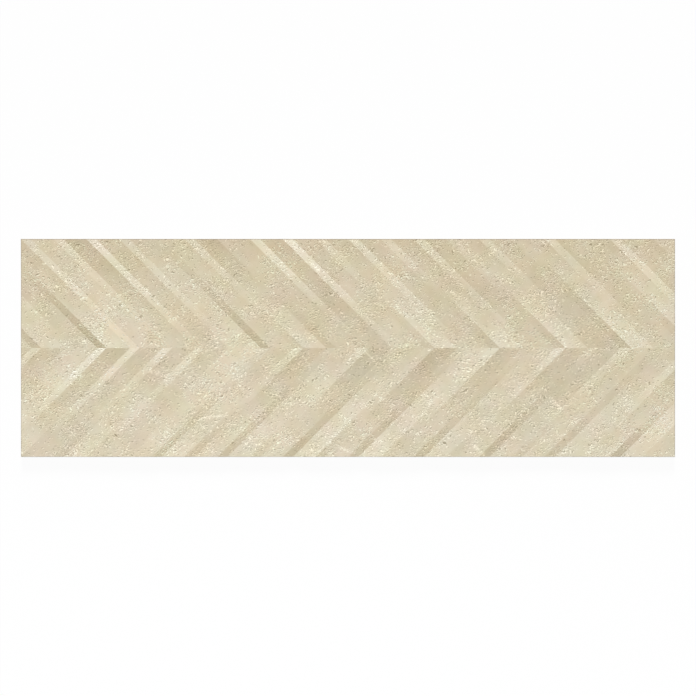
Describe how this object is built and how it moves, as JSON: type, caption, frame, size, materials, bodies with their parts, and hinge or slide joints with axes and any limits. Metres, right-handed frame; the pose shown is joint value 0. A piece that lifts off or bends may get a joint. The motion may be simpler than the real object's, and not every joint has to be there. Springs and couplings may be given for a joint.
{
  "type": "ceramic wall tile",
  "caption": "Rectangular matt beige ceramic wall tile, its face folded into a chevron relief of narrow and wide facets that meet at a central spine, with a keyed back.",
  "frame": {"origin": "middle of the tile's back, on the plane that the ribs of the back lie on", "axes": "+X along the length, towards the points of the chevrons; +Y across the width; +Z out of the decorated face"},
  "size_m": [0.9, 0.3, 0.011],
  "materials": {
    "glazed_face": "matt printed glaze with a fine stone grain"
  },
  "bodies": {
    "root": {"wall_tile": "glazed_face"}
  },
  "joints": []
}
